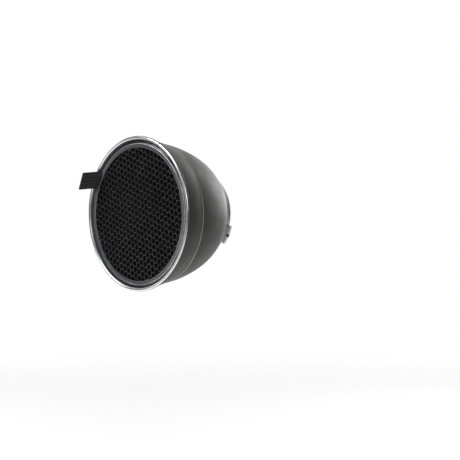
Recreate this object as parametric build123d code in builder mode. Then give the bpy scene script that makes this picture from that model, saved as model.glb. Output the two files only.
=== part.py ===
from build123d import *
import os
from math import ceil, cos, degrees, radians, sin, sqrt

# Honeycomb grid in a 7 inch bayonet reflector.
# The axis is Y: the mouth faces -Y, the flash head would sit on the +Y side, and +Z is up.
# The origin is on the axis, in the face of the bayonet ring that seats against the flash head.
# Radii are from the axis, depths are measured back from the front of the rim.

# ---- reflector ----
RIM_RADIUS = 90.0            # over the rolled rim
REFLECTOR_DEPTH = 96.8       # rim front to seating face
SHEET = 1.0                  # spun aluminium
CURL_RADIUS = 2.0            # outside radius of the rolled rim
CURL_TURN = 285.0            # how far the sheet is rolled round, degrees
COLLAR_MIDDLE = (85.2, 18.8) # outside radius and depth, halfway down the collar's slight curve
RIDGE_DEPTH = 30.4           # the collar ends here and the bowl starts
RIDGE_RADIUS = 82.2
RIDGE_STEP = 0.6
RIDGE_STEP_LENGTH = 0.8
BOWL_MIDDLE = (78.9, 50.3)   # outside radius and depth, on the bowl's front arc
BOWL_WAIST = (71.1, 71.8)    # here the front arc runs into the flatter rear arc
BOWL_REAR_RADIUS = 56.8
BACK_PLATE_DEPTH = 93.8      # rear face of the shell's flat back
BACK_CORNER = 2.5

# ---- bayonet ring ----
NECK_RADIUS = 48.0
LAMP_BORE_RADIUS = 46.0
SEAT_RADIUS = 53.4
NECK_LENGTH = 11.0
LUG_RADIUS = 53.0
LUG_THICKNESS = 3.0
LUG_ANGLE = 27.0
LUG_COUNT = 3
LOCK_NOTCH_RADIUS = 1.8
RING_RIVET_CIRCLE = 50.7
RING_RIVET_COUNT = 6
RING_RIVET_SHANK = 1.6
RING_RIVET_HEAD = 2.5
RING_RIVET_TAIL = 1.1        # height of the domed tail inside the shell
RIVET_FIT = 0.05             # radial clearance of every rivet in its hole

# ---- grid ----
GRID_DROP = 0.7              # the spring pushes the grid to the bottom of the collar
GRID_RADIUS = 82.6
GRID_FACE_DEPTH = 2.3        # the grid sits this far inside the rim
GRID_THICKNESS = 14.0
GRID_WALL = 1.0
FRONT_LIP = 5.2
REAR_LIP = 3.5
LIP_CORNER = 1.2
SEAM_ANGLE = 67.0            # from +X towards +Z
SEAM_SLANT = 35.0            # the strip's ends are cut at a slant
SEAM_GAP = 0.4

CELL_PITCH = 7.1             # across the flats, centre to centre
CELL_WALL = 0.3
CELL_ROW_ANGLE = -21.0       # from +X towards +Z
CELL_SHIFT = (4.44, -1.82)   # a cell centre, from the grid's axis
CORE_CLEARANCE = 0.15

# ---- seam spring ----
SPRING_ANGLE = 69.0
SPRING_THICKNESS = 0.5
SPRING_WIDTH = 8.0
SPRING_HUG_ANGLE = 18.0      # the stretch that lies on the grid's wall
SPRING_ARM = 19.5            # each free arm
SPRING_TIP = 1.6             # radius of the rolled tips
SPRING_DEPTH = 2.6           # front edge
SPRING_RIVET_ANGLE = 5.0

# ---- pull tab ----
TAB_ANGLE = 150.4
TAB_SLANT = 5.5              # the tab is riveted on a little askew
TAB_WIDTH = 23.0
TAB_THICKNESS = 1.2
TAB_REACH = 25.0             # in front of the grid's face
TAB_LEAD = 0.8               # the fixed part ends this far in front of the grid's face
TAB_FOLD_GAP = 1.2           # flexing stretch between the fixed and the free part
TAB_TAIL = 9.0               # riveted stretch behind the grid's face
TAB_RIVET_SPACING = 13.0
SMALL_RIVET_SHANK = 1.2
SMALL_RIVET_HEAD = 2.2
SMALL_RIVET_DOME = 0.8
SHIM = 0.02                  # the flat rivet heads clear the curved pieces they clamp

rim_y = -REFLECTOR_DEPTH
grid_face_y = rim_y + GRID_FACE_DEPTH
grid_rear_y = grid_face_y + GRID_THICKNESS
grid_axis = Axis((0, 0, -GRID_DROP), (0, 1, 0))
grid_profile_plane = Plane(origin=(0, 0, -GRID_DROP), x_dir=(1, 0, 0), z_dir=(0, 0, 1))


def grid_disc(y):
    """Plane across the grid's axis at y: local x is +X, local y is +Z, and it looks forwards."""
    return Plane(origin=(0, y, -GRID_DROP), x_dir=(1, 0, 0), z_dir=(0, -1, 0))


def grid_wall_plane(angle, radius, y):
    """Plane on the grid's wall at a clock angle: local x runs back along +Y, z points outwards."""
    a = radians(angle)
    place = (radius * cos(a), y, radius * sin(a) - GRID_DROP)
    return Plane(origin=place, x_dir=(0, 1, 0), z_dir=(cos(a), 0, sin(a)))


def tab_spot(ahead, across):
    """Plane on the grid's wall at a spot of the tab, measured forwards along it and across it."""
    slant = radians(TAB_SLANT)
    sideways = across * cos(slant) + ahead * sin(slant)
    forwards = ahead * cos(slant) - across * sin(slant)
    return grid_wall_plane(TAB_ANGLE + degrees(sideways / GRID_RADIUS), GRID_RADIUS, grid_face_y - forwards)


def tab_box_location(ahead, radius):
    """Location on the tab's middle line: local x runs back along the tab, z points outwards."""
    start = grid_wall_plane(TAB_ANGLE, radius, grid_face_y).rotated((0, 0, -TAB_SLANT))
    return start.location * Location((-ahead, 0, 0))


def on_disc(radius, angle):
    """Point at a clock angle, in a disc plane's own coordinates."""
    return (radius * cos(radians(angle)), radius * sin(radians(angle)))


def cell_centres(reach):
    """Centres of the hexagonal cells that come within reach of the grid's axis."""
    row = radians(CELL_ROW_ANGLE)
    slant = radians(CELL_ROW_ANGLE + 60)
    count = ceil(2 * reach / CELL_PITCH)
    found = []
    for i in range(-count, count + 1):
        for j in range(-count, count + 1):
            x = CELL_SHIFT[0] + CELL_PITCH * (i * cos(row) + j * cos(slant))
            y = CELL_SHIFT[1] + CELL_PITCH * (i * sin(row) + j * sin(slant))
            if sqrt(x * x + y * y) < reach:
                found.append((x, y))
    return found


def ring_rivet_plane(angle):
    """Plane on the seating face at a rivet: z points back, out of the face."""
    x, z = on_disc(RING_RIVET_CIRCLE, angle)
    return Plane(origin=(x, 0, z), x_dir=(1, 0, 0), z_dir=(0, 1, 0))


spring_rivet_angles = [SPRING_ANGLE - SPRING_RIVET_ANGLE, SPRING_ANGLE + SPRING_RIVET_ANGLE]
spring_rivet_y = grid_face_y + SPRING_DEPTH + SPRING_WIDTH / 2
tab_rivet_places = [tab_spot(-TAB_TAIL / 2, across) for across in (-TAB_RIVET_SPACING / 2, TAB_RIVET_SPACING / 2)]
spring_rivet_places = [grid_wall_plane(a, GRID_RADIUS, spring_rivet_y) for a in spring_rivet_angles]
ring_rivet_places = [ring_rivet_plane(360 * i / RING_RIVET_COUNT) for i in range(RING_RIVET_COUNT)]

# ---- reflector shell: one spun sheet from the rolled rim to the flat back ----
half_sheet = SHEET / 2
curl_centre = (RIM_RADIUS - CURL_RADIUS, rim_y + CURL_RADIUS)
curl_middle = CURL_RADIUS - half_sheet
mouth_middle = RIM_RADIUS - 2 * CURL_RADIUS + half_sheet
collar_middle = (COLLAR_MIDDLE[0] - half_sheet, rim_y + COLLAR_MIDDLE[1])
ridge = (RIDGE_RADIUS - half_sheet, rim_y + RIDGE_DEPTH)
bowl_start = (ridge[0] + RIDGE_STEP, ridge[1] + RIDGE_STEP_LENGTH)
back_y = rim_y + BACK_PLATE_DEPTH - half_sheet
bowl_middle = (BOWL_MIDDLE[0] - half_sheet, rim_y + BOWL_MIDDLE[1])
bowl_waist = (BOWL_WAIST[0] - half_sheet, rim_y + BOWL_WAIST[1])
bowl_end = (BOWL_REAR_RADIUS - half_sheet, back_y)

with BuildPart() as reflector_shell:
    with BuildSketch(Plane.XY):
        with BuildLine() as shell_line:
            CenterArc(curl_centre, curl_middle, 180, CURL_TURN)
            ThreePointArc((mouth_middle, rim_y + CURL_RADIUS), collar_middle, ridge)
            Line(ridge, bowl_start)
            bowl_front = ThreePointArc(bowl_start, bowl_middle, bowl_waist)
            TangentArc(bowl_waist, bowl_end, tangent=bowl_front % 1)
            Line(bowl_end, (LAMP_BORE_RADIUS + 1.5, back_y))
            corner = shell_line.vertices().sort_by_distance(bowl_end)[0]
            fillet(corner, radius=BACK_CORNER)
            offset(amount=half_sheet)
        make_face()
    revolve(axis=Axis.Y)
    with Locations(*ring_rivet_places):
        Cylinder(RING_RIVET_SHANK + RIVET_FIT, 20, mode=Mode.SUBTRACT)
reflector_shell.part.label = "reflector_shell"

# ---- bayonet ring: seating plate, neck and three lugs, cast in one piece ----
plate_front_y = rim_y + BACK_PLATE_DEPTH

with BuildSketch(Plane.XY) as one_lug:
    with BuildLine():
        lug_inside = CenterArc((0, 0), NECK_RADIUS - 0.5, -LUG_ANGLE / 2, LUG_ANGLE)
        lug_outside = CenterArc((0, 0), LUG_RADIUS, -LUG_ANGLE / 2, LUG_ANGLE)
        Line(lug_inside @ 0, lug_outside @ 0)
        Line(lug_inside @ 1, lug_outside @ 1)
    make_face()
    with Locations((LUG_RADIUS, 0)):
        Circle(LOCK_NOTCH_RADIUS, mode=Mode.SUBTRACT)

with BuildPart() as bayonet_ring:
    with BuildSketch(Plane.XY):
        with BuildLine():
            Polyline(
                (LAMP_BORE_RADIUS, plate_front_y),
                (SEAT_RADIUS, plate_front_y),
                (SEAT_RADIUS, 0),
                (NECK_RADIUS, 0),
                (NECK_RADIUS, NECK_LENGTH),
                (LAMP_BORE_RADIUS, NECK_LENGTH),
                close=True,
            )
        make_face()
    revolve(axis=Axis.Y)
    neck_edges = bayonet_ring.edges().filter_by(GeomType.CIRCLE).group_by(Axis.Y)[-1]
    chamfer(neck_edges, 0.5)
    lug_plane = Plane(origin=(0, NECK_LENGTH - 0.5, 0), x_dir=(1, 0, 0), z_dir=(0, -1, 0))
    with BuildSketch(lug_plane):
        with PolarLocations(0, LUG_COUNT, start_angle=90):
            add(one_lug.sketch)
    extrude(amount=LUG_THICKNESS)
    with Locations(*ring_rivet_places):
        CounterSinkHole(
            radius=RING_RIVET_SHANK + RIVET_FIT,
            counter_sink_radius=RING_RIVET_HEAD + RIVET_FIT,
            depth=2 * REFLECTOR_DEPTH - 2 * BACK_PLATE_DEPTH,
            counter_sink_angle=90,
        )
bayonet_ring.part.label = "bayonet_ring"

# ---- ring rivets: countersunk flush with the seating face, domed inside the shell ----
shell_back_inside = BACK_PLATE_DEPTH - SHEET - REFLECTOR_DEPTH
countersink = RING_RIVET_HEAD - RING_RIVET_SHANK

with BuildPart() as one_ring_rivet:
    with BuildSketch(Plane.XZ):
        with BuildLine():
            ThreePointArc(
                (0, shell_back_inside - RING_RIVET_TAIL),
                (0.7 * RING_RIVET_HEAD, shell_back_inside - 0.68 * RING_RIVET_TAIL),
                (RING_RIVET_HEAD, shell_back_inside),
            )
            Polyline(
                (RING_RIVET_HEAD, shell_back_inside),
                (RING_RIVET_SHANK, shell_back_inside),
                (RING_RIVET_SHANK, -countersink),
                (RING_RIVET_HEAD, 0),
                (0, 0),
                (0, shell_back_inside - RING_RIVET_TAIL),
            )
        make_face()
    revolve(axis=Axis.Z)

with BuildPart() as ring_rivets:
    with Locations(*ring_rivet_places):
        add(one_ring_rivet.part)
ring_rivets.part.label = "ring_rivets"

# ---- grid frame: aluminium strip bent to a channel, rolled into a hoop round the core ----
half_wall = GRID_WALL / 2
hoop_middle = GRID_RADIUS - half_wall

with BuildPart() as grid_frame:
    with BuildSketch(grid_profile_plane):
        with BuildLine() as frame_line:
            Polyline(
                (GRID_RADIUS - FRONT_LIP + half_wall, grid_face_y + half_wall),
                (hoop_middle, grid_face_y + half_wall),
                (hoop_middle, grid_rear_y - half_wall),
                (GRID_RADIUS - REAR_LIP + half_wall, grid_rear_y - half_wall),
            )
            bends = frame_line.vertices().group_by(Axis.X)[-1]
            fillet(bends, radius=LIP_CORNER - half_wall)
            offset(amount=half_wall)
        make_face()
    revolve(axis=grid_axis)
    seam_plane = grid_wall_plane(SEAM_ANGLE, hoop_middle, (grid_face_y + grid_rear_y) / 2)
    with Locations(seam_plane.rotated((-SEAM_SLANT, 0, 0))):
        Box(2 * GRID_THICKNESS, SEAM_GAP, 4 * FRONT_LIP, mode=Mode.SUBTRACT)
    with Locations(*spring_rivet_places, *tab_rivet_places):
        Cylinder(SMALL_RIVET_SHANK + RIVET_FIT, 6, mode=Mode.SUBTRACT)
grid_frame.part.label = "grid_frame"

# ---- honeycomb core: foil cells cut to a disc, so the outermost cells are cut through ----
core_front_y = grid_face_y + GRID_WALL + CORE_CLEARANCE
core_depth = GRID_THICKNESS - 2 * (GRID_WALL + CORE_CLEARANCE)
core_radius = GRID_RADIUS - GRID_WALL - CORE_CLEARANCE

with BuildPart() as honeycomb_core:
    with BuildSketch(grid_disc(core_front_y)):
        Circle(core_radius)
        with Locations(*cell_centres(core_radius + CELL_PITCH / 3)):
            RegularPolygon(
                radius=(CELL_PITCH - CELL_WALL) / 2,
                side_count=6,
                major_radius=False,
                rotation=CELL_ROW_ANGLE - 30,
                mode=Mode.SUBTRACT,
            )
    extrude(amount=-core_depth)
honeycomb_core.part.label = "honeycomb_core"

# ---- seam spring: leaf riveted over the hoop's joint, its two arms press on the collar ----
spring_y = grid_face_y + SPRING_DEPTH
hug_radius = GRID_RADIUS + SPRING_THICKNESS / 2
hug_start = SPRING_ANGLE - SPRING_HUG_ANGLE / 2

with BuildPart() as seam_spring:
    with BuildSketch(grid_disc(spring_y)):
        with BuildLine():
            hug = CenterArc((0, 0), hug_radius, hug_start, SPRING_HUG_ANGLE)
            left_arm = Line(hug @ 1, hug @ 1 + (hug % 1) * SPRING_ARM)
            right_arm = Line(hug @ 0, hug @ 0 - (hug % 0) * SPRING_ARM)
            JernArc(left_arm @ 1, left_arm % 1, SPRING_TIP, 70)
            JernArc(right_arm @ 1, right_arm % 1, SPRING_TIP, -70)
            offset(amount=SPRING_THICKNESS / 2)
        make_face()
    extrude(amount=-SPRING_WIDTH)
    with Locations(*spring_rivet_places):
        Cylinder(SMALL_RIVET_SHANK + RIVET_FIT, 6, mode=Mode.SUBTRACT)
seam_spring.part.label = "seam_spring"

# ---- pull tab: webbing riveted to the hoop, with a free flap that reaches out of the mouth ----
tab_half_angle = degrees(TAB_WIDTH / GRID_RADIUS)
root_length = TAB_LEAD + TAB_TAIL
tab_middle = GRID_RADIUS + TAB_THICKNESS / 2

with BuildPart() as tab_root:
    with BuildSketch(grid_disc(grid_face_y - 2 * TAB_LEAD - TAB_FOLD_GAP)):
        with BuildLine():
            root_inside = CenterArc((0, 0), GRID_RADIUS, TAB_ANGLE - tab_half_angle, 2 * tab_half_angle)
            root_outside = CenterArc(
                (0, 0), GRID_RADIUS + TAB_THICKNESS, TAB_ANGLE - tab_half_angle, 2 * tab_half_angle
            )
            Line(root_inside @ 0, root_outside @ 0)
            Line(root_inside @ 1, root_outside @ 1)
        make_face()
    extrude(amount=-2 * root_length)
    with Locations(tab_box_location(TAB_LEAD - root_length / 2, tab_middle)):
        Box(root_length, TAB_WIDTH, 4 * TAB_THICKNESS, mode=Mode.INTERSECT)
    with Locations(*tab_rivet_places):
        Cylinder(SMALL_RIVET_SHANK + RIVET_FIT, 6, mode=Mode.SUBTRACT)
tab_root.part.label = "tab_root"

flap_length = TAB_REACH - TAB_LEAD - TAB_FOLD_GAP

with BuildPart() as tab_flap:
    with BuildSketch(Plane(tab_box_location(TAB_REACH - flap_length / 2, GRID_RADIUS))) as flap_outline:
        Rectangle(flap_length, TAB_WIDTH)
        fillet(flap_outline.vertices().sort_by(Axis.X)[:2], radius=1.0)
    extrude(amount=TAB_THICKNESS)
tab_flap.part.label = "tab_flap"

# ---- small domed rivets of the spring and the tab, flush inside the hoop ----

def small_rivet(clamped):
    """Rivet through the hoop and a clamped piece, in a frame whose origin is on the hoop's outside."""
    with BuildPart() as rivet:
        with BuildSketch(Plane.XZ):
            with BuildLine():
                ThreePointArc(
                    (0, clamped + SMALL_RIVET_DOME),
                    (0.7 * SMALL_RIVET_HEAD, clamped + 0.68 * SMALL_RIVET_DOME),
                    (SMALL_RIVET_HEAD, clamped + 0.1),
                )
                Polyline(
                    (SMALL_RIVET_HEAD, clamped + 0.1),
                    (SMALL_RIVET_HEAD, clamped),
                    (SMALL_RIVET_SHANK, clamped),
                    (SMALL_RIVET_SHANK, -GRID_WALL),
                    (0, -GRID_WALL),
                    (0, clamped + SMALL_RIVET_DOME),
                )
            make_face()
        revolve(axis=Axis.Z)
    return rivet.part


spring_rivet = small_rivet(SPRING_THICKNESS + SHIM)
tab_rivet = small_rivet(TAB_THICKNESS + SHIM)

with BuildPart() as spring_rivets:
    with Locations(*spring_rivet_places):
        add(spring_rivet)
spring_rivets.part.label = "spring_rivets"

with BuildPart() as tab_rivets:
    with Locations(*tab_rivet_places):
        add(tab_rivet)
tab_rivets.part.label = "tab_rivets"

# ---- write every piece ----
os.makedirs("parts", exist_ok=True)
export_step(reflector_shell.part, "parts/reflector_shell.step")
export_step(bayonet_ring.part, "parts/bayonet_ring.step")
export_step(ring_rivets.part, "parts/ring_rivets.step")
export_step(grid_frame.part, "parts/grid_frame.step")
export_step(honeycomb_core.part, "parts/honeycomb_core.step")
export_step(seam_spring.part, "parts/seam_spring.step")
export_step(spring_rivets.part, "parts/spring_rivets.step")
export_step(tab_root.part, "parts/tab_root.step")
export_step(tab_flap.part, "parts/tab_flap.step")
export_step(tab_rivets.part, "parts/tab_rivets.step")
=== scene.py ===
import math
import random

import bmesh
import bpy
from mathutils import Matrix, Vector


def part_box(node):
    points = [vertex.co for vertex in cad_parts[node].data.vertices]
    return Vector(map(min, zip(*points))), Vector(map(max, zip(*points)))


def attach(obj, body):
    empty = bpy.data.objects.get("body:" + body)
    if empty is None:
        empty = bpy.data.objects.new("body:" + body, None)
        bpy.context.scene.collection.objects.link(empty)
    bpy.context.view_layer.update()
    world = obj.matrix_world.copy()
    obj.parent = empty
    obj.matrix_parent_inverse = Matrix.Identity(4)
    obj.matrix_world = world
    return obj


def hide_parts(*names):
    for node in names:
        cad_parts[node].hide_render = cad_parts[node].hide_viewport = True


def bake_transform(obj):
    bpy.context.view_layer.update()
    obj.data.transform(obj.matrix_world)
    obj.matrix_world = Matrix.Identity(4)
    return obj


# Looks of the honeycomb grid in its reflector. Everything is in metres, in the CAD frame: the axis is Y,
# the mouth faces -Y, +Z is up, and the origin is in the bayonet ring's seating face.

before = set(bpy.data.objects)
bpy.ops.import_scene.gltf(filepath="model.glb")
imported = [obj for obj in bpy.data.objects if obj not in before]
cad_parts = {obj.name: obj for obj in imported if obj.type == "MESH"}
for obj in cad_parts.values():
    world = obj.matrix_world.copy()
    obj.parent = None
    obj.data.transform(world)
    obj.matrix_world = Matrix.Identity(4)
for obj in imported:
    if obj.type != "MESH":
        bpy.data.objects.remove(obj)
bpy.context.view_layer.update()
MM = 0.001

# ---------------------------------------------------------------- sizes, from the frame
shell_low, shell_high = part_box("reflector_shell")
hoop_low, hoop_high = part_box("grid_frame")
core_low, core_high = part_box("honeycomb_core")
spring_low, spring_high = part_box("seam_spring")

RIM_RADIUS = 90.0 * MM
RIM_Y = shell_low.y
SHELL_BACK_Y = shell_high.y
SHEET = 1.0 * MM
CURL_RADIUS = 2.0 * MM
CURL_PAINT_ANGLE = -33       # the rolled rim is painted from this angle round its outside, degrees
COLLAR_MIDDLE = (85.2, 18.8) # outside radius and depth behind the rim, in mm, like the next four
RIDGE = (82.2, 30.4)
BOWL_START = (82.8, 31.2)
BOWL_MIDDLE = (78.9, 50.3)
BOWL_WAIST = (71.1, 71.8)
BOWL_REAR_RADIUS = 56.8 * MM
BACK_CORNER = 2.5 * MM
LAMP_BORE_RADIUS = 46 * MM
SEAT_RADIUS = 53.4 * MM
NECK_RADIUS = 48 * MM
NECK_LENGTH = 11 * MM
LUG_COUNT = 3
LUG_RADIUS = 53 * MM
LUG_ROOT_RADIUS = 47.4 * MM
LUG_FRONT_Y = 7.5 * MM
LUG_REAR_Y = 10.5 * MM
LUG_HALF_ANGLE = math.radians(13.5)
LOCK_NOTCH_RADIUS = 1.8 * MM
RING_RIVET_COUNT = 6
RING_RIVET_CIRCLE = 50.7 * MM
GRID_Z = (hoop_low.z + hoop_high.z) / 2
HOOP_RADIUS = (hoop_high.x - hoop_low.x) / 2
HOOP_FRONT_Y = hoop_low.y
HOOP_REAR_Y = hoop_high.y
HOOP_WALL = 1.0 * MM
FRONT_LIP = 5.2 * MM
REAR_LIP = 3.5 * MM
LIP_CORNER = 1.2 * MM
SEAM_HALF_GAP = 0.26 * MM
SEAM_ANGLE = math.radians(67)
SEAM_SLANT = math.radians(35)
CELL_PITCH = 7.1 * MM
CELL_WALL = 0.3 * MM
CELL_ROW_ANGLE = math.radians(-21)
CELL_SHIFT = (4.44 * MM, -1.82 * MM)
SPRING_ANGLE = math.radians(69)
SPRING_THICKNESS = 0.5 * MM
SPRING_HUG = math.radians(18)
SPRING_ARM = 19.5 * MM
SPRING_TIP = 1.6 * MM
SPRING_RIVET_ANGLE = math.radians(5)
TAB_ANGLE = math.radians(150.4)
TAB_SLANT = math.radians(5.5)
TAB_WIDTH = 23.0 * MM
TAB_THICKNESS = 1.2 * MM
TAB_REACH = 25.0 * MM
TAB_TAIL = 9.0 * MM
TAB_RIVET_SPACING = 13.0 * MM
SMALL_RIVET_HEAD = 2.2 * MM
SMALL_RIVET_SHANK = 1.2 * MM
SMALL_RIVET_DOME = 0.8 * MM
ROUND_STEPS = 288


# ---------------------------------------------------------------- mesh helpers
def mesh_piece(name, points, faces, materials, face_material=None, smooth_angle=35):
    """A mesh object in the row frame, smooth shaded except at edges sharper than smooth_angle degrees."""
    mesh = bpy.data.meshes.new(name)
    mesh.from_pydata([tuple(p) for p in points], [], faces)
    for material in materials:
        mesh.materials.append(material)
    if face_material:
        mesh.polygons.foreach_set("material_index", face_material)
    mesh.validate()
    piece = bpy.data.objects.new(name, mesh)
    bpy.context.scene.collection.objects.link(piece)
    mesh.shade_smooth()
    mesh.set_sharp_from_angle(angle=math.radians(smooth_angle))
    return piece


def arc(centre, radius, start, end, steps):
    """Points round an arc, angles in degrees."""
    angles = [math.radians(start + (end - start) * i / steps) for i in range(steps + 1)]
    return [(centre[0] + radius * math.cos(a), centre[1] + radius * math.sin(a)) for a in angles]


def circle_through(a, b, c):
    """Centre and radius of the circle through three points."""
    d = 2 * (a[0] * (b[1] - c[1]) + b[0] * (c[1] - a[1]) + c[0] * (a[1] - b[1]))
    squares = [p[0] ** 2 + p[1] ** 2 for p in (a, b, c)]
    x = (squares[0] * (b[1] - c[1]) + squares[1] * (c[1] - a[1]) + squares[2] * (a[1] - b[1])) / d
    y = (squares[0] * (c[0] - b[0]) + squares[1] * (a[0] - c[0]) + squares[2] * (b[0] - a[0])) / d
    return (x, y), math.dist((x, y), a)


def arc_between(centre, start, end, steps):
    """Points of the short arc from start to end round centre."""
    first = math.atan2(start[1] - centre[1], start[0] - centre[0])
    last = math.atan2(end[1] - centre[1], end[0] - centre[0])
    turn = (last - first + math.pi) % (2 * math.pi) - math.pi
    radius = math.dist(start, centre)
    return arc(centre, radius, math.degrees(first), math.degrees(first + turn), steps)


def rounded(path, radius, steps=6):
    """The polyline path with each inner corner rounded to radius."""
    result = [path[0]]
    for before, corner, after in zip(path, path[1:], path[2:]):
        into = Vector(before) - Vector(corner)
        out = Vector(after) - Vector(corner)
        half = into.angle(out) / 2
        back = min(radius / math.tan(half), 0.49 * into.length, 0.49 * out.length)
        start = Vector(corner) + into.normalized() * back
        end = Vector(corner) + out.normalized() * back
        middle = Vector(corner) + (into.normalized() + out.normalized()).normalized() * back / math.cos(half)
        result += arc_between(tuple(middle), tuple(start), tuple(end), steps)
    return result + [path[-1]]


def thick_outline(path, thickness, cap_steps=4):
    """Closed outline round a 2-D path: its left side, a round cap, its right side and a round cap."""
    clean = [Vector(path[0])]
    for p in path[1:]:
        if (Vector(p) - clean[-1]).length > 1e-6:
            clean.append(Vector(p))
    half = thickness / 2
    normals = []
    for i in range(len(clean)):
        along = clean[min(i + 1, len(clean) - 1)] - clean[max(i - 1, 0)]
        normals.append(Vector((-along.y, along.x)).normalized())
    left = [p + n * half for p, n in zip(clean, normals)]
    right = [p - n * half for p, n in zip(clean, normals)]

    def cap(centre, normal):
        turned = []
        for k in range(1, cap_steps):
            turned.append(centre + Matrix.Rotation(-math.pi * k / cap_steps, 2) @ (normal * half))
        return turned

    outline = left + cap(clean[-1], normals[-1]) + right[::-1] + cap(clean[0], -normals[0])
    return outline, len(left)


def lathe(outline, centre_z=0.0, start=0.0, end=2 * math.pi, steps=ROUND_STEPS):
    """Points and faces of a closed (radius, y) outline turned about the axis. A part turn gets flat ends."""
    whole = end - start > 2 * math.pi - 1e-6
    rings = steps if whole else steps + 1
    count = len(outline)
    points = []
    for i in range(rings):
        a = start + (end - start) * i / steps
        points += [(r * math.cos(a), y, r * math.sin(a) + centre_z) for r, y in outline]
    faces = []
    for i in range(steps):
        for j in range(count):
            a, b = i * count + j, i * count + (j + 1) % count
            c, d = (i + 1) % rings * count + (j + 1) % count, (i + 1) % rings * count + j
            faces.append((a, b, c, d))
    if not whole:
        faces.append(tuple(range(count))[::-1])
        faces.append(tuple(range((rings - 1) * count, rings * count)))
    return points, faces


def outwards(piece):
    """Turns every face of a closed piece to look outwards."""
    work = bmesh.new()
    work.from_mesh(piece.data)
    bmesh.ops.recalc_face_normals(work, faces=work.faces)
    work.to_mesh(piece.data)
    work.free()
    return piece


def show(piece, body, slot, *nodes):
    """A finished piece that rides on a body and stands for CAD nodes."""
    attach(piece, body)
    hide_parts(*nodes)


# ---------------------------------------------------------------- material helpers
RANGE_SOCKETS = ("From Min", "From Max", "To Min", "To Max")


class Recipe:
    """A node material under construction: noise, mixes and bumps are added by short calls."""

    def __init__(self, name, roughness, metallic=0.0, specular=0.5):
        self.material = bpy.data.materials.new(name)
        self.material.use_nodes = True
        self.tree = self.material.node_tree
        self.shader = self.tree.nodes["Principled BSDF"]
        self.shader.inputs["Roughness"].default_value = roughness
        self.shader.inputs["Metallic"].default_value = metallic
        self.shader.inputs["Specular IOR Level"].default_value = specular
        self.place = self.node("ShaderNodeTexCoord").outputs["Object"]
        self.last_bump = None

    def node(self, kind, **settings):
        made = self.tree.nodes.new(kind)
        for key, value in settings.items():
            setattr(made, key, value)
        return made

    def link(self, source, target):
        self.tree.links.new(source, target)

    def noise(self, scale, detail=4.0, roughness=0.55, place=None):
        made = self.node("ShaderNodeTexNoise")
        made.inputs["Scale"].default_value = scale
        made.inputs["Detail"].default_value = detail
        made.inputs["Roughness"].default_value = roughness
        self.link(place or self.place, made.inputs["Vector"])
        return made.outputs["Fac"]

    def spread(self, value, low, high, to_low, to_high):
        made = self.node("ShaderNodeMapRange")
        self.link(value, made.inputs["Value"])
        for socket, number in zip(RANGE_SOCKETS, (low, high, to_low, to_high)):
            made.inputs[socket].default_value = number
        return made.outputs["Result"]

    def maths(self, operation, a, b=None):
        made = self.node("ShaderNodeMath", operation=operation)
        for socket, value in zip(made.inputs, (a, b)):
            if isinstance(value, (int, float)):
                socket.default_value = value
            elif value is not None:
                self.link(value, socket)
        return made.outputs[0]

    def mix(self, factor, a, b):
        """Colour between a and b; each is a colour or a socket."""
        made = self.node("ShaderNodeMix", data_type="RGBA")
        self.link(factor, made.inputs[0])
        for socket, value in zip((made.inputs[6], made.inputs[7]), (a, b)):
            if isinstance(value, tuple):
                socket.default_value = (*value, 1)
            else:
                self.link(value, socket)
        return made.outputs[2]

    def axis_distance(self):
        """Distance from the Y axis, in metres."""
        parts = self.node("ShaderNodeSeparateXYZ")
        self.link(self.place, parts.inputs[0])
        squares = [self.maths("MULTIPLY", parts.outputs[i], parts.outputs[i]) for i in (0, 2)]
        return self.maths("SQRT", self.maths("ADD", *squares)), parts.outputs[1]

    def bump(self, height, distance, strength=1.0):
        made = self.node("ShaderNodeBump")
        made.inputs["Strength"].default_value = strength
        made.inputs["Distance"].default_value = distance
        self.link(height, made.inputs["Height"])
        if self.last_bump:
            self.link(self.last_bump, made.inputs["Normal"])
        self.last_bump = made.outputs["Normal"]
        self.link(self.last_bump, self.shader.inputs["Normal"])

    def colour(self, value):
        self.link(value, self.shader.inputs["Base Color"])

    def rough(self, value):
        self.link(value, self.shader.inputs["Roughness"])

    def turned(self, amount):
        """Highlights stretched across the turning marks of a spun or rolled piece."""
        tangent = self.node("ShaderNodeTangent", direction_type="RADIAL", axis="Y")
        self.link(tangent.outputs[0], self.shader.inputs["Tangent"])
        self.shader.inputs["Anisotropic"].default_value = amount


def turning_marks(recipe, pitch, strength):
    """Fine concentric grooves, uneven in depth, from spinning the sheet."""
    radius, along = recipe.axis_distance()
    travel = recipe.maths("ADD", radius, along)
    line = recipe.node("ShaderNodeCombineXYZ")
    recipe.link(travel, line.inputs[0])
    grooves = recipe.noise(1 / pitch, detail=3, place=line.outputs[0])
    recipe.bump(grooves, strength)
    return grooves


def shell_paint():
    """Matt black paint, dusty in places, with a painted highlight along the ridge."""
    r = Recipe("shell_paint", roughness=0.52, specular=0.55)
    cloud = r.noise(28, detail=5)
    grain = r.noise(2600, detail=2)
    dust = r.spread(r.noise(900, detail=2), 0.66, 0.78, 0, 0.2)
    tone = r.mix(cloud, (0.017, 0.0165, 0.0155), (0.024, 0.023, 0.0215))
    _, along = r.axis_distance()
    # A thin paler band along the ridge step is a painted highlight, made patchy by the cloud noise.
    from_ridge = r.maths("ABSOLUTE", r.maths("SUBTRACT", along, RIM_Y + (RIDGE[1] + 0.3) * MM))
    uneven = r.spread(cloud, 0.3, 0.7, 0.6, 1)
    painted_ridge_highlight = r.maths("MULTIPLY", r.spread(from_ridge, 0.35 * MM, 0.75 * MM, 1, 0), uneven)
    r.colour(r.mix(painted_ridge_highlight, r.mix(dust, tone, (0.06, 0.059, 0.055)), (0.34, 0.335, 0.32)))
    r.rough(r.spread(r.noise(60, detail=4), 0.3, 0.7, 0.46, 0.58))
    turning_marks(r, 0.0016, 0.000025)
    r.bump(grain, 0.00005, 0.8)
    return r.material


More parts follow.
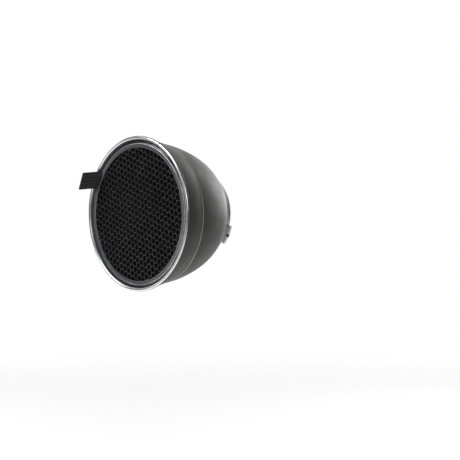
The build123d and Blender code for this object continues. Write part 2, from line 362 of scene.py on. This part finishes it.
def inner_silver():
    r = Recipe("inner_silver", roughness=0.32, metallic=1.0)
    tone = r.mix(r.noise(45, detail=4), (0.62, 0.62, 0.63), (0.72, 0.72, 0.73))
    r.colour(tone)
    grooves = turning_marks(r, 0.0009, 0.00003)
    r.rough(r.spread(grooves, 0.3, 0.7, 0.4, 0.56))
    r.bump(r.noise(420, detail=2), 0.0001, 0.5)
    r.turned(0.4)
    return r.material


def rim_metal():
    r = Recipe("rim_metal", roughness=0.2, metallic=1.0)
    r.colour(r.mix(r.noise(90, detail=4), (0.86, 0.86, 0.86), (0.93, 0.93, 0.93)))
    grooves = turning_marks(r, 0.0005, 0.000008)
    r.rough(r.spread(grooves, 0.3, 0.7, 0.24, 0.34))
    return r.material


def grid_aluminium():
    r = Recipe("grid_aluminium", roughness=0.36, metallic=1.0)
    blotch = r.noise(70, detail=6, roughness=0.65)
    tone = r.mix(blotch, (0.30, 0.30, 0.325), (0.40, 0.40, 0.43))
    radius, _ = r.axis_distance()
    # The paler, patchy band round the hoop's outer bend is a painted highlight on the rolled edge.
    outer_bend = r.spread(radius, 80.6 * MM, 82.2 * MM, 0, 1)
    painted_bend_highlight = r.maths("MULTIPLY", outer_bend, r.spread(r.noise(130), 0.4, 0.7, 0, 1))
    r.colour(r.mix(painted_bend_highlight, tone, (0.66, 0.66, 0.68)))
    grooves = turning_marks(r, 0.0004, 0.000012)
    r.rough(r.spread(grooves, 0.3, 0.7, 0.3, 0.46))
    scratches = r.node("ShaderNodeTexVoronoi", feature="DISTANCE_TO_EDGE")
    scratches.inputs["Scale"].default_value = 240
    warped = r.node("ShaderNodeMapping")
    warped.inputs["Scale"].default_value = (1, 0.2, 0.3)
    r.link(r.place, warped.inputs[0])
    r.link(warped.outputs[0], scratches.inputs["Vector"])
    r.bump(r.spread(scratches.outputs["Distance"], 0, 0.03, 0, 1), 0.00001, 0.5)
    r.turned(0.5)
    return r.material


def black_foil():
    r = Recipe("black_foil", roughness=0.5, specular=0.4)
    r.colour(r.mix(r.noise(160, detail=3), (0.011, 0.011, 0.012), (0.02, 0.02, 0.021)))
    r.rough(r.spread(r.noise(300), 0.3, 0.7, 0.42, 0.6))
    r.bump(r.noise(900, detail=2), 0.00004, 0.6)
    return r.material


def foil_edge():
    r = Recipe("foil_edge", roughness=0.45, metallic=0.6)
    bare = r.spread(r.noise(330, detail=3), 0.35, 0.72, 0, 1)
    r.colour(r.mix(bare, (0.13, 0.13, 0.13), (0.42, 0.42, 0.42)))
    r.bump(r.noise(1500, detail=2), 0.00003, 0.7)
    return r.material


def spring_steel():
    r = Recipe("spring_steel", roughness=0.28, metallic=1.0)
    r.colour(r.mix(r.noise(120, detail=5), (0.34, 0.35, 0.38), (0.52, 0.52, 0.54)))
    stretched = r.node("ShaderNodeMapping")
    stretched.inputs["Scale"].default_value = (1, 14, 1)
    r.link(r.place, stretched.inputs[0])
    lines = r.noise(300, detail=3, place=stretched.outputs[0])
    r.rough(r.spread(lines, 0.3, 0.7, 0.22, 0.4))
    r.bump(lines, 0.00001)
    return r.material


def rivet_metal():
    r = Recipe("rivet_metal", roughness=0.34, metallic=1.0)
    r.colour(r.mix(r.noise(800, detail=4), (0.5, 0.5, 0.5), (0.66, 0.66, 0.66)))
    r.rough(r.spread(r.noise(1300), 0.3, 0.7, 0.26, 0.46))
    r.bump(r.noise(1800, detail=2), 0.00003, 0.6)
    return r.material


def cast_aluminium():
    r = Recipe("cast_aluminium", roughness=0.42, metallic=1.0)
    r.colour(r.mix(r.noise(150, detail=5), (0.5, 0.5, 0.51), (0.6, 0.6, 0.61)))
    r.rough(r.spread(r.noise(500, detail=3), 0.3, 0.7, 0.34, 0.52))
    r.bump(r.noise(1400, detail=3), 0.00006, 0.7)
    return r.material


def webbing():
    """Black herringbone webbing: two sets of slanting yarns under a soft sheen."""
    r = Recipe("webbing", roughness=0.82, specular=0.25)
    r.shader.inputs["Sheen Weight"].default_value = 0.25
    r.shader.inputs["Sheen Roughness"].default_value = 0.5
    uv = r.node("ShaderNodeUVMap", uv_map="weave").outputs[0]
    parts = r.node("ShaderNodeSeparateXYZ")
    r.link(uv, parts.inputs[0])
    across, along = parts.outputs[0], parts.outputs[1]
    fold = r.maths("PINGPONG", across, 2.4)
    twill = r.maths("SINE", r.maths("MULTIPLY", r.maths("ADD", along, fold), 2 * math.pi / 0.8))
    yarn = r.maths("SINE", r.maths("MULTIPLY", across, 2 * math.pi / 0.4))
    height = r.maths("ADD", r.maths("MULTIPLY", twill, 0.7), r.maths("MULTIPLY", yarn, 0.3))
    # Colour is darker where the weave is low, which is painted shade in the grooves between the yarns.
    shade = r.spread(height, -1, 1, 0, 1)
    fuzz = r.noise(1200, detail=4)
    tone = r.mix(shade, (0.0085, 0.0085, 0.009), (0.021, 0.021, 0.022))
    r.colour(r.mix(r.spread(fuzz, 0.5, 0.8, 0, 0.5), tone, (0.03, 0.03, 0.031)))
    r.bump(height, 0.00012, 0.9)
    r.bump(fuzz, 0.00005, 0.5)
    return r.material


paint = shell_paint()
silver = inner_silver()
bright_rim = rim_metal()
aluminium = grid_aluminium()
foil = black_foil()
cut_edge = foil_edge()
strip_steel = spring_steel()
rivets_metal = rivet_metal()
casting = cast_aluminium()
black_webbing = webbing()


# ---------------------------------------------------------------- reflector shell
def shell_path():
    """Middle of the spun sheet as (radius, y), from the free end of the curl to the hole in the back."""
    half = SHEET / 2
    back_y = SHELL_BACK_Y - half
    curl = arc((RIM_RADIUS - CURL_RADIUS, RIM_Y + CURL_RADIUS), CURL_RADIUS - half, 465, 180, 40)
    collar_middle, ridge, bowl_start, middle, waist = [
        (radius * MM - half, RIM_Y + depth * MM)
        for radius, depth in (COLLAR_MIDDLE, RIDGE, BOWL_START, BOWL_MIDDLE, BOWL_WAIST)
    ]
    bowl_end = (BOWL_REAR_RADIUS - half, back_y)
    collar_centre, _ = circle_through(curl[-1], collar_middle, ridge)
    collar = arc_between(collar_centre, curl[-1], ridge, 24)
    front_centre, _ = circle_through(bowl_start, middle, waist)
    front = arc_between(front_centre, bowl_start, waist, 30)
    outward = (Vector(waist) - Vector(front_centre)).normalized()
    chord = Vector(bowl_end) - Vector(waist)
    rear_radius = -chord.length_squared / (2 * chord.dot(outward))
    rear_centre = Vector(waist) - outward * rear_radius
    rear = arc_between(tuple(rear_centre), waist, bowl_end, 20)
    corner = rounded([rear[-3], bowl_end, (LAMP_BORE_RADIUS + 1.5 * MM, back_y)], BACK_CORNER, 8)
    step = rounded([collar[-2], ridge, bowl_start, front[1]], 0.25 * MM, 4)[1:-1]
    return curl + collar[1:-1] + step + front[1:] + rear[1:-3] + corner


def make_shell():
    """The spun sheet, painted outside, silver inside and bare metal round the front of the rolled rim."""
    path = shell_path()
    outline, side = thick_outline(path, SHEET)
    points, faces = lathe([tuple(p) for p in outline])
    curl_centre = Vector((RIM_RADIUS - CURL_RADIUS, RIM_Y + CURL_RADIUS))
    finish = []
    for j in range(len(outline)):
        middle = (Vector(outline[j]) + Vector(outline[(j + 1) % len(outline)])) / 2
        from_curl = middle - curl_centre
        on_curl = from_curl.length < CURL_RADIUS * 1.02 and middle.y < curl_centre.y + CURL_RADIUS
        angle = math.degrees(math.atan2(from_curl.y, from_curl.x))
        if on_curl and from_curl.length > CURL_RADIUS * 0.8:
            finish.append(2 if angle < CURL_PAINT_ANGLE or angle > 160 else 0)
        else:
            finish.append(1 if j < side else 0)
    coats = [paint, silver, bright_rim]
    piece = mesh_piece("reflector_shell_body", points, faces, coats, finish * ROUND_STEPS)
    show(piece, "reflector", "shell_paint", "reflector_shell")


make_shell()


# ---------------------------------------------------------------- grid hoop
def make_hoop():
    """The rolled hoop, with its front and rear lips, left open at the seam."""
    inside = HOOP_RADIUS - HOOP_WALL
    front_lip, rear_lip = HOOP_RADIUS - FRONT_LIP, HOOP_RADIUS - REAR_LIP
    y0, y1 = HOOP_FRONT_Y, HOOP_REAR_Y
    outline = [(front_lip, y0 + 0.75 * MM), (front_lip, y0 + 0.45 * MM)]
    outline += [(front_lip + 0.15 * MM, y0 + 0.22 * MM)]
    outline += [(front_lip + (0.4 + 0.85 * i) * MM, y0 + 0.13 * MM * (1 - i / 4) ** 2) for i in range(5)]
    outline += arc((HOOP_RADIUS - LIP_CORNER, y0 + LIP_CORNER), LIP_CORNER, -90, 0, 10)
    outline += arc((HOOP_RADIUS - LIP_CORNER, y1 - LIP_CORNER), LIP_CORNER, 0, 90, 10)
    outline += [(rear_lip + 0.25 * MM, y1), (rear_lip, y1 - 0.25 * MM), (rear_lip, y1 - 0.8 * MM)]
    outline += [(rear_lip + 0.2 * MM, y1 - HOOP_WALL)]
    outline += arc((inside - 0.4 * MM, y1 - HOOP_WALL - 0.4 * MM), 0.4 * MM, 90, 0, 4)
    outline += arc((inside - 0.4 * MM, y0 + HOOP_WALL + 0.4 * MM), 0.4 * MM, 0, -90, 4)
    outline += [(front_lip + 0.2 * MM, y0 + HOOP_WALL)]
    gap = SEAM_HALF_GAP / HOOP_RADIUS
    points, faces = lathe(outline, GRID_Z, SEAM_ANGLE + gap, SEAM_ANGLE - gap + 2 * math.pi)
    count = len(outline)
    for number, (x, y, z) in enumerate(points):
        share = number // count / ROUND_STEPS
        near_end = max(0.0, 1 - 2 * min(share, 1 - share) * 9)
        radius = math.hypot(x, z - GRID_Z)
        turn = (radius - inside) * math.tan(SEAM_SLANT) / HOOP_RADIUS * near_end
        angle = math.atan2(z - GRID_Z, x) + turn
        points[number] = (radius * math.cos(angle), y, radius * math.sin(angle) + GRID_Z)
    piece = mesh_piece("grid_hoop", points, faces, [aluminium])
    show(outwards(piece), "grid", "grid_aluminium", "grid_frame")


# ---------------------------------------------------------------- honeycomb core
def lattice_nodes(reach):
    """The cells near the grid's axis, each as its six node keys, and the place of every node."""
    pitch, row = CELL_PITCH, CELL_ROW_ANGLE
    wobble = random.Random(7)
    cells, nodes = [], {}
    count = math.ceil(2 * reach / pitch)
    for i in range(-count, count + 1):
        for j in range(-count, count + 1):
            x = CELL_SHIFT[0] + pitch * (i * math.cos(row) + j * math.cos(row + math.pi / 3))
            z = CELL_SHIFT[1] + pitch * (i * math.sin(row) + j * math.sin(row + math.pi / 3))
            if math.hypot(x, z) > reach + pitch:
                continue
            keys = []
            for k in range(6):
                a = row + math.pi / 6 + k * math.pi / 3
                place = (x + pitch / math.sqrt(3) * math.cos(a), z + pitch / math.sqrt(3) * math.sin(a))
                key = (round(place[0] / MM * 4), round(place[1] / MM * 4))
                near = [(key[0] + dx, key[1] + dz) for dx in (-1, 0, 1) for dz in (-1, 0, 1)]
                key = next((n for n in near if n in nodes), key)
                nodes.setdefault(key, Vector(place))
                keys.append(key)
            cells.append(keys)
    for key in sorted(nodes):
        nodes[key] += Vector((wobble.gauss(0, 0.1), wobble.gauss(0, 0.1))) * MM
    return cells, nodes


def inset_corner(before, corner, after, inset):
    """The corner of a counter-clockwise polygon once its two sides have moved inwards."""
    into, out = (corner - before).normalized(), (after - corner).normalized()
    bisector = (Vector((-into.y, into.x)) + Vector((-out.y, out.x))).normalized()
    return corner + bisector * inset / max(0.3, bisector.dot(Vector((-into.y, into.x))))


def to_circle(inner, outer, radius):
    """Where the line from inner to outer crosses the circle about the axis."""
    along = outer - inner
    a, b, c = along.length_squared, inner.dot(along), inner.length_squared - radius ** 2
    return inner + along * (-b + math.sqrt(max(0.0, b * b - a * c))) / a


def make_core():
    """Foil walls round every cell, front and rear cut edges included, each wall ending at the hoop."""
    radius = (core_high.x - core_low.x) / 2
    half_wall = CELL_WALL / 2
    cells, nodes = lattice_nodes(radius)
    edges, corners = {}, {}
    for number, keys in enumerate(cells):
        for k in range(6):
            before, key, after = keys[k - 1], keys[k], keys[(k + 1) % 6]
            corners[number, key] = inset_corner(nodes[before], nodes[key], nodes[after], half_wall)
            edges.setdefault(frozenset((key, after)), []).append((number, key, after))
    buckle = random.Random(11)
    depths = [core_low.y, core_low.y + 0.12 * MM, (core_low.y + core_high.y) / 2,
              core_high.y - 0.12 * MM, core_high.y]
    points, faces, finish, index = [], [], [], {}

    def column(name, place):
        """Point numbers down the core's depth for one place on the face."""
        if name not in index:
            sway = Vector((buckle.gauss(0, 0.06), buckle.gauss(0, 0.06))) * MM
            lean = Vector((buckle.gauss(0, 0.05), buckle.gauss(0, 0.05))) * MM
            index[name] = len(points)
            for step, y in enumerate(depths):
                shift = sway if step == 2 else (lean if step > 2 else Vector((0, 0)))
                moved = place + shift
                if moved.length > radius:
                    moved = moved.normalized() * radius
                points.append((moved.x, y, moved.y + GRID_Z))
        return index[name]

    def wall(a, b):
        for step in range(4):
            faces.append((a + step, b + step, b + step + 1, a + step + 1))
            finish.append(0)

    def caps(loop):
        faces.append(tuple(loop))
        faces.append(tuple(n + 4 for n in reversed(loop)))
        finish.extend((1, 1))

    for sides in edges.values():
        if len(sides) < 2:
            continue
        (cell_p, start, end), (cell_q, _, _) = sides
        inside = [nodes[start].length < radius - 0.3 * MM, nodes[end].length < radius - 0.3 * MM]
        if not any(inside):
            continue
        row_p, row_q = [], []
        for key, far, kept in ((start, end, inside[0]), (end, start, inside[1])):
            for row, cell in ((row_p, cell_p), (row_q, cell_q)):
                if kept:
                    row.append(column((cell, key), corners[cell, key]))
                else:
                    cut = to_circle(corners[cell, far], corners[cell, key], radius)
                    row.append(column((cell, key, far), cut))
        wall(row_p[0], row_p[1])
        wall(row_q[1], row_q[0])
        caps([row_p[0], row_p[1], row_q[1], row_q[0]])
        for end_number, kept in enumerate(inside):
            if not kept:
                pair = [row_p[end_number], row_q[end_number]]
                wall(*(pair if end_number else pair[::-1]))
    around = {}
    for number, keys in enumerate(cells):
        for key in keys:
            around.setdefault(key, []).append(number)
    for key, numbers in around.items():
        if nodes[key].length < radius - 0.3 * MM:
            spread = sorted(numbers, key=lambda n: math.atan2(*(corners[n, key] - nodes[key]).yx))
            caps([column((n, key), corners[n, key]) for n in spread])
    piece = mesh_piece("honeycomb", points, faces, [foil, cut_edge], finish, 50)
    show(outwards(piece), "grid", "black_foil", "honeycomb_core")


make_hoop()
make_core()


# ---------------------------------------------------------------- seam spring
def slab(outline, y0, y1, bevel):
    """A closed outline across the axis, stretched along Y with eased edges."""
    count = len(outline)
    levels = [(y0, 1), (y0 + bevel, 0), (y1 - bevel, 0), (y1, 1)]
    points, faces = [], []
    for y, eased in levels:
        for i in range(count):
            along = Vector(outline[(i + 1) % count]) - Vector(outline[i - 1])
            inward = Vector((along.y, -along.x)).normalized() * bevel * eased
            p = Vector(outline[i]) + inward
            points.append((p.x, y, p.y + GRID_Z))
    for level in range(3):
        for i in range(count):
            a, b = level * count + i, level * count + (i + 1) % count
            faces.append((a, b, b + count, a + count))
    for level in (0, 3):
        faces.append(tuple(range(level * count, level * count + count)))
    return points, faces


def strip_path():
    """Middle of the spring strip on the disc: rolled tip, arm, the stretch on the hoop, arm, rolled tip."""
    radius = HOOP_RADIUS + SPRING_THICKNESS / 2
    half = SPRING_HUG / 2
    path = []
    for side in (1, -1):
        a = SPRING_ANGLE + side * half
        start = Vector((radius * math.cos(a), radius * math.sin(a)))
        along = side * Vector((-math.sin(a), math.cos(a)))
        inward = -Vector((math.cos(a), math.sin(a)))
        centre = start + along * SPRING_ARM + inward * SPRING_TIP
        curl = []
        for k in range(1, 9):
            turn = math.radians(70) * k / 8
            curl.append(centre + (along * math.sin(turn) - inward * math.cos(turn)) * SPRING_TIP)
        arm = [start + along * SPRING_ARM * k / 8 for k in range(1, 9)]
        path.append(arm + curl)
    hug = arc((0, 0), radius, math.degrees(SPRING_ANGLE - half), math.degrees(SPRING_ANGLE + half), 16)
    return [tuple(p) for p in reversed(path[1])] + hug + [tuple(p) for p in path[0]]


def make_spring():
    outline, _ = thick_outline(strip_path(), SPRING_THICKNESS, 6)
    points, faces = slab(outline, spring_low.y, spring_high.y, 0.08 * MM)
    piece = mesh_piece("spring_strip", points, faces, [strip_steel], smooth_angle=40)
    show(outwards(piece), "grid", "spring_steel", "seam_spring")


# ---------------------------------------------------------------- rivets
def turned_piece(name, profile, places, material, steps=32):
    """One mesh of equal turned pieces. The profile is (radius, height), each place is (point, z axis)."""
    points, faces = [], []
    for place, up in places:
        turn = Vector((0, 0, 1)).rotation_difference(up).to_matrix()
        first = len(points)
        for i in range(steps):
            a = 2 * math.pi * i / steps
            for r, h in profile[1:-1]:
                points.append(place + turn @ Vector((r * math.cos(a), r * math.sin(a), h)))
        rings = len(profile) - 2
        for i in range(steps):
            a, b = first + i * rings, first + (i + 1) % steps * rings
            for j in range(rings - 1):
                faces.append((a + j, b + j, b + j + 1, a + j + 1))
        poles = (profile[0], 0), (profile[-1], rings - 1)
        for (_, h), row in poles:
            points.append(place + turn @ Vector((0, 0, h)))
            tip = len(points) - 1
            for i in range(steps):
                faces.append((tip, first + i * rings + row, first + (i + 1) % steps * rings + row))
    return outwards(mesh_piece(name, points, faces, [material], smooth_angle=50))


def on_hoop(angle, y):
    """(point on the hoop's outside, outward direction) at a clock angle."""
    out = Vector((math.cos(angle), 0, math.sin(angle)))
    return out * HOOP_RADIUS + Vector((0, y, GRID_Z)), out


def tab_spot(ahead, across):
    """(clock angle, y) of a spot on the pull tab, measured forwards along it and across it."""
    sideways = across * math.cos(TAB_SLANT) + ahead * math.sin(TAB_SLANT)
    forwards = ahead * math.cos(TAB_SLANT) - across * math.sin(TAB_SLANT)
    return TAB_ANGLE + sideways / HOOP_RADIUS, HOOP_FRONT_Y - forwards


def domed(radius, base, height, skirt, foot, shank):
    """Profile of a domed head over its shank."""
    profile = [(0, base + height)]
    for k in range(1, 9):
        a = math.pi / 2 * k / 8
        profile.append((radius * math.sin(a), base + skirt + (height - skirt) * math.cos(a)))
    return profile + [(radius, base), (shank, base), (shank, foot), (0, foot)]


def small_head(clamped):
    """Profile of a small rivet that clamps a strip of this thickness on the hoop."""
    foot = -HOOP_WALL - 0.03 * MM
    return domed(SMALL_RIVET_HEAD, clamped + 0.02 * MM, SMALL_RIVET_DOME, 0.15 * MM, foot, SMALL_RIVET_SHANK)


def make_rivets():
    spring_y = (spring_low.y + spring_high.y) / 2
    angles = (SPRING_ANGLE - SPRING_RIVET_ANGLE, SPRING_ANGLE + SPRING_RIVET_ANGLE)
    places = [on_hoop(angle, spring_y) for angle in angles]
    heads = turned_piece("spring_rivet_heads", small_head(SPRING_THICKNESS), places, rivets_metal)
    show(heads, "grid", "rivet_metal", "spring_rivets")
    across = (-TAB_RIVET_SPACING / 2, TAB_RIVET_SPACING / 2)
    places = [on_hoop(*tab_spot(-TAB_TAIL / 2, offset)) for offset in across]
    heads = turned_piece("tab_rivet_heads", small_head(TAB_THICKNESS), places, rivets_metal)
    show(heads, "grid", "rivet_metal", "tab_rivets")


# ---------------------------------------------------------------- bayonet ring
def make_casting():
    """Seating plate and neck, turned in one."""
    bore, seat, neck = LAMP_BORE_RADIUS, SEAT_RADIUS, NECK_RADIUS
    front, length, ease = SHELL_BACK_Y, NECK_LENGTH, 0.3 * MM
    outline = [(bore + 0.2 * MM, front), (seat - ease, front), (seat, front + ease), (seat, -0.4 * MM)]
    outline += arc((seat - 0.4 * MM, -0.4 * MM), 0.4 * MM, 0, 90, 4)[1:]
    outline += [(neck + 0.5 * MM, 0), (neck + 0.15 * MM, 0.15 * MM), (neck, 0.5 * MM)]
    outline += [(neck, length - 0.5 * MM), (neck - 0.5 * MM, length)]
    outline += [(bore + ease, length), (bore, length - ease), (bore, front + 0.2 * MM)]
    points, faces = lathe(outline)
    piece = mesh_piece("bayonet_casting", points, faces, [casting])
    show(outwards(piece), "reflector", "cast_aluminium", "bayonet_ring")


def lug_outline(middle):
    """A lug across the axis, at a clock angle: its outside with the locking notch, then its root."""
    notch_half = math.asin(LOCK_NOTCH_RADIUS / 2 / LUG_RADIUS) * 2
    stretch = LUG_HALF_ANGLE - notch_half

    def at(radius, angle):
        return (radius * math.cos(middle + angle), radius * math.sin(middle + angle))

    outline = [at(LUG_RADIUS, -LUG_HALF_ANGLE + stretch * k / 12) for k in range(13)]
    start = math.degrees(middle) - 91
    outline += arc(at(LUG_RADIUS, 0), LOCK_NOTCH_RADIUS, start, start - 178, 12)
    outline += [at(LUG_RADIUS, notch_half + stretch * k / 12) for k in range(13)]
    return outline + [at(LUG_ROOT_RADIUS, LUG_HALF_ANGLE * (1 - k / 8)) for k in range(17)]


def make_lug(number):
    """One lug, with bevelled edges."""
    loop = lug_outline(math.radians(90 + 360 / LUG_COUNT * number))
    bevel = 0.35 * MM
    levels = [(LUG_FRONT_Y, bevel), (LUG_FRONT_Y + bevel, 0), (LUG_REAR_Y - bevel, 0), (LUG_REAR_Y, bevel)]
    count, points, faces = len(loop), [], []
    for y, eased in levels:
        for i in range(count):
            along = Vector(loop[(i + 1) % count]) - Vector(loop[i - 1])
            p = Vector(loop[i]) + Vector((-along.y, along.x)).normalized() * eased
            points.append((p.x, y, p.y))
    for level in range(3):
        for i in range(count):
            a, b = level * count + i, level * count + (i + 1) % count
            faces.append((a, b, b + count, a + count))
    faces += [tuple(range(count)), tuple(range(3 * count, 4 * count))]
    lug = mesh_piece(f"bayonet_lug_{number + 1}", points, faces, [casting])
    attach(outwards(lug), "reflector")


def make_ring_rivets():
    """Rivets with flat tops in the seating face and domed tails inside the shell."""
    places = []
    for k in range(RING_RIVET_COUNT):
        a = 2 * math.pi / RING_RIVET_COUNT * k
        place = Vector((RING_RIVET_CIRCLE * math.cos(a), 0, RING_RIVET_CIRCLE * math.sin(a)))
        places.append((place, Vector((0, 1, 0))))
    inside = SHELL_BACK_Y - SHEET
    head, shank = 2.5 * MM, 1.6 * MM
    profile = [(0, 0.05 * MM), (1.7 * MM, 0.05 * MM), (2.4 * MM, 0.02 * MM), (head, -0.1 * MM)]
    profile += [(shank, -1 * MM), (shank, inside), (head, inside)]
    for k in range(1, 8):
        a = math.pi / 2 * k / 8
        profile.append((head * math.cos(a), inside - 0.1 * MM - 1.0 * MM * math.sin(a)))
    profile.append((0, inside - 1.1 * MM))
    heads = turned_piece("ring_rivet_heads", profile, places, rivets_metal)
    show(heads, "reflector", "rivet_metal", "ring_rivets")


def make_ring():
    make_casting()
    for number in range(LUG_COUNT):
        make_lug(number)
    make_ring_rivets()


make_spring()
make_rivets()
make_ring()


# ---------------------------------------------------------------- pull tab
def make_tab():
    """One strip of webbing, riveted end to free end. It lies round the hoop, then runs out flat."""
    tail, tip, step = -TAB_TAIL, TAB_REACH, 0.27 * MM
    rows = round((tip - tail) / step)
    middle = HOOP_RADIUS + TAB_THICKNESS / 2
    out = Vector((math.cos(TAB_ANGLE), 0, math.sin(TAB_ANGLE)))
    side = Vector((-math.sin(TAB_ANGLE), 0, math.cos(TAB_ANGLE)))
    centre = Vector((0, 0, GRID_Z))
    half_width, half_thick = TAB_WIDTH / 2, TAB_THICKNESS / 2
    flat_span, flat_points = half_width - half_thick, 54
    section = []
    for k in range(flat_points):
        section.append((flat_span - 2 * flat_span * k / (flat_points - 1), half_thick, 1.0))
    for k in range(1, 12):
        a = math.pi * k / 12
        section.append((-flat_span - half_thick * math.sin(a), half_thick * math.cos(a), 0.0))
    for k in range(flat_points):
        section.append((-flat_span + 2 * flat_span * k / (flat_points - 1), -half_thick, 1.0))
    for k in range(1, 12):
        a = math.pi * k / 12
        section.append((flat_span + half_thick * math.sin(a), -half_thick * math.cos(a), 0.0))
    points, weave = [], []
    for row in range(rows + 1):
        ahead = tail + (tip - tail) * row / rows
        free = min(1.0, max(0.0, ahead / (9 * MM)))
        bow = 1 - free * free * (3 - 2 * free)
        to_end = min(tip - ahead, ahead - tail)
        narrow = 1 - 0.05 * max(0.0, 1 - to_end / (0.6 * MM))
        woven_here = 0.035 * MM * min(1.0, to_end / (1.2 * MM))
        for across, height, woven in section:
            twill = math.sin(2 * math.pi * (ahead + 0.6 * abs(across)) / (0.8 * MM))
            rib = (twill - 1) * woven_here * woven
            h = height + (rib if height > 0 else -rib)
            s = across * narrow
            sideways = s * math.cos(TAB_SLANT) + ahead * math.sin(TAB_SLANT)
            forwards = ahead * math.cos(TAB_SLANT) - s * math.sin(TAB_SLANT)
            angle = sideways / middle * bow
            radial = (middle + h) * math.cos(angle)
            lateral = (middle + h) * math.sin(angle) + sideways * (1 - bow)
            place = centre + out * radial + side * lateral
            points.append(place + Vector((0, HOOP_FRONT_Y - forwards, 0)))
            weave.append((s / MM + 20, ahead / MM + 40))
    count = len(section)
    faces = []
    for row in range(rows):
        for k in range(count):
            a, b = row * count + k, row * count + (k + 1) % count
            faces.append((a, b, b + count, a + count))
    faces += [tuple(range(count)), tuple(range(rows * count, rows * count + count))]
    piece = mesh_piece("pull_tab_webbing", points, faces, [black_webbing], smooth_angle=60)
    outwards(piece)
    layer = piece.data.uv_layers.new(name="weave")
    for loop in piece.data.loops:
        layer.data[loop.index].uv = weave[loop.vertex_index]
    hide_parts("tab_root", "tab_flap")
    ahead = side * math.sin(TAB_SLANT) - Vector((0, math.cos(TAB_SLANT), 0))
    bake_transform(piece)


make_tab()


# ---------------------------------------------------------------- floor, light and camera
def make_floor():
    """A wide white floor under the held object, fading out into the white surroundings."""
    mesh = bpy.data.meshes.new("floor")
    angles = [k * math.pi / 32 for k in range(64)]
    rim = [(2.4 * math.cos(a), 2.4 * math.sin(a), -0.45) for a in angles]
    mesh.from_pydata(rim, [], [tuple(range(64))])
    floor = bpy.data.objects.new("floor", mesh)
    bpy.context.scene.collection.objects.link(floor)
    r = Recipe("floor_white", roughness=0.9, specular=0.1)
    r.shader.inputs["Base Color"].default_value = (0.82, 0.82, 0.82, 1)
    r.shader.inputs["Emission Color"].default_value = (1, 1, 1, 1)
    r.shader.inputs["Emission Strength"].default_value = 0.25
    parts = r.node("ShaderNodeSeparateXYZ")
    r.link(r.place, parts.inputs[0])
    squares = [r.maths("MULTIPLY", parts.outputs[i], parts.outputs[i]) for i in (0, 1)]
    away = r.maths("SQRT", r.maths("ADD", *squares))
    fade = r.node("ShaderNodeMapRange", interpolation_type="SMOOTHSTEP")
    r.link(away, fade.inputs["Value"])
    for socket, number in zip(RANGE_SOCKETS, (0.5, 2.2, 1, 0)):
        fade.inputs[socket].default_value = number
    r.link(fade.outputs["Result"], r.shader.inputs["Alpha"])
    mesh.materials.append(r.material)


def softbox(name, place, size, power):
    """A rectangular area light that faces the origin."""
    lamp = bpy.data.lights.new(name, "AREA")
    lamp.shape = "RECTANGLE"
    lamp.size, lamp.size_y = size
    lamp.energy = power
    holder = bpy.data.objects.new(name, lamp)
    holder.location = place
    holder.rotation_euler = (-Vector(place)).to_track_quat("-Z", "Y").to_euler()
    bpy.context.scene.collection.objects.link(holder)


def make_world():
    """White surroundings that light the object mostly from behind, to the left and a little above."""
    world = bpy.data.worlds.new("studio")
    world.use_nodes = True
    tree = world.node_tree
    place = tree.nodes.new("ShaderNodeTexCoord")
    facing = tree.nodes.new("ShaderNodeVectorMath")
    facing.operation = "DOT_PRODUCT"
    facing.inputs[1].default_value = Vector((-0.36, 0.89, 0.28)).normalized()
    tree.links.new(place.outputs["Generated"], facing.inputs[0])
    spread = tree.nodes.new("ShaderNodeMapRange")
    spread.interpolation_type = "SMOOTHSTEP"
    for socket, number in zip(RANGE_SOCKETS, (0.5, 0.97, 0.06, 1.3)):
        spread.inputs[socket].default_value = number
    tree.links.new(facing.outputs["Value"], spread.inputs["Value"])
    light = tree.nodes["Background"]
    light.inputs["Color"].default_value = (1, 1, 1, 1)
    tree.links.new(spread.outputs["Result"], light.inputs["Strength"])
    seen = tree.nodes.new("ShaderNodeBackground")
    seen.inputs["Color"].default_value = (1, 1, 1, 1)
    path = tree.nodes.new("ShaderNodeLightPath")
    choose = tree.nodes.new("ShaderNodeMixShader")
    tree.links.new(path.outputs["Is Camera Ray"], choose.inputs[0])
    tree.links.new(light.outputs[0], choose.inputs[1])
    tree.links.new(seen.outputs[0], choose.inputs[2])
    tree.links.new(choose.outputs[0], tree.nodes["World Output"].inputs["Surface"])
    bpy.context.scene.world = world


def make_camera():
    camera = bpy.data.cameras.new("camera")
    camera.lens, camera.sensor_width = 89.2, 36.0
    camera.clip_start, camera.clip_end = 0.01, 300.0
    holder = bpy.data.objects.new("camera", camera)
    right = Vector((0.70066, 0.71349, 0)).normalized()
    forward = Vector((-0.71333, 0.70051, -0.02094)).normalized()
    up = right.cross(forward)
    turn = Matrix((right, up, -forward)).transposed()
    holder.matrix_world = Matrix.Translation((1.0175, -0.9425, 0.0088)) @ turn.to_4x4()
    bpy.context.scene.collection.objects.link(holder)
    bpy.context.scene.camera = holder


make_floor()
make_world()
softbox("front_top", (-0.6, -1.4, 1.3), (1.2, 1.0), 24)
softbox("left", (-1.7, -0.1, 0.1), (0.9, 1.4), 9)
softbox("top", (0.3, 0.2, 1.5), (0.9, 0.9), 5)
softbox("right_front", (1.5, -1.1, 0.7), (0.5, 0.9), 6)
softbox("back", (-0.3, 1.6, 0.4), (0.6, 0.8), 9)
make_camera()
bpy.context.scene.view_settings.view_transform = "Standard"
